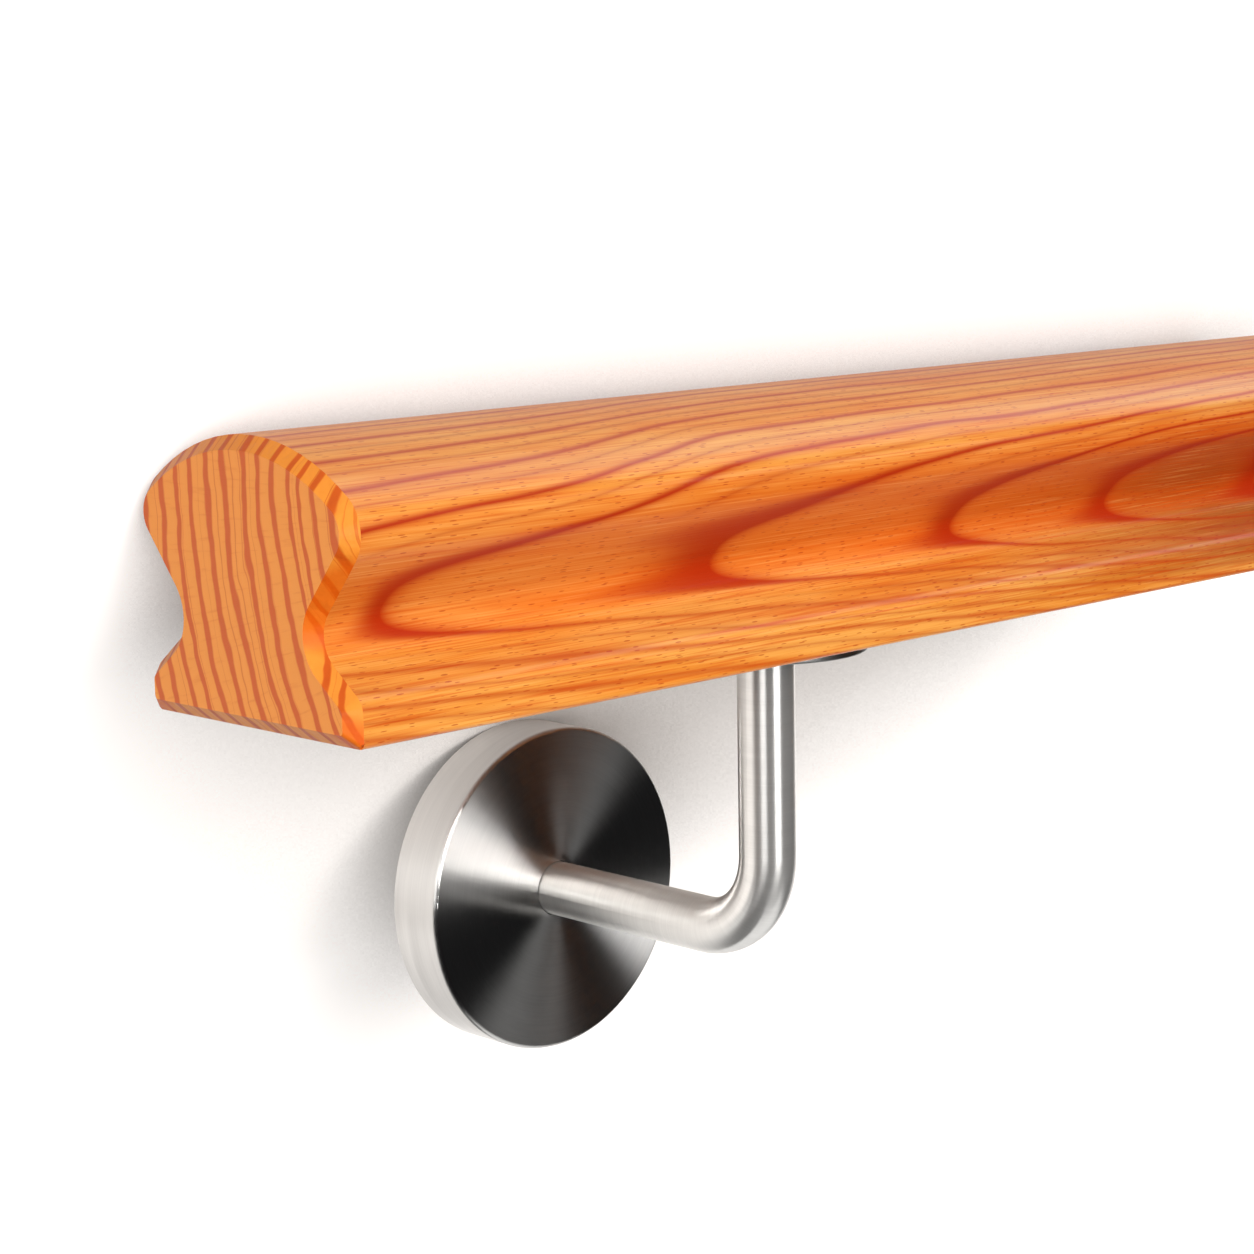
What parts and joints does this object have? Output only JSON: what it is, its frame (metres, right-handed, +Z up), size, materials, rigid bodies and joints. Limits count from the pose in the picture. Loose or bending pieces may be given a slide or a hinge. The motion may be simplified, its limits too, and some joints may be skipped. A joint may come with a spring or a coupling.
{
  "type": "stair handrail length",
  "caption": "Short length of moulded timber handrail with finger coves and bevelled ends, on a bent round steel bar bracket with a round cover over its wall plate.",
  "frame": {"origin": "centre of the bounding box's bottom, on the floor that the part lies on", "axes": "+X along the rail towards the sawn end nearer the bracket, +Z up from the floor; the part lies on its back, resting on the rail's rear shoulder and the cover's rim"},
  "size_m": [0.32, 0.1771, 0.0832],
  "materials": {
    "lacquered_timber": "clear gloss lacquer",
    "satin_bar_steel": "satin polished",
    "plate_steel": "mill finish",
    "screw_steel": "bright",
    "turned_cover_steel": "turned, fine circular lines"
  },
  "bodies": {
    "root": {"handrail": "lacquered_timber", "bracket_rod": "satin_bar_steel", "saddle_plate": "plate_steel", "saddle_screw_far": "screw_steel", "saddle_screw_near": "screw_steel", "wall_plate": "plate_steel", "cover_rosette": "turned_cover_steel"}
  },
  "joints": []
}
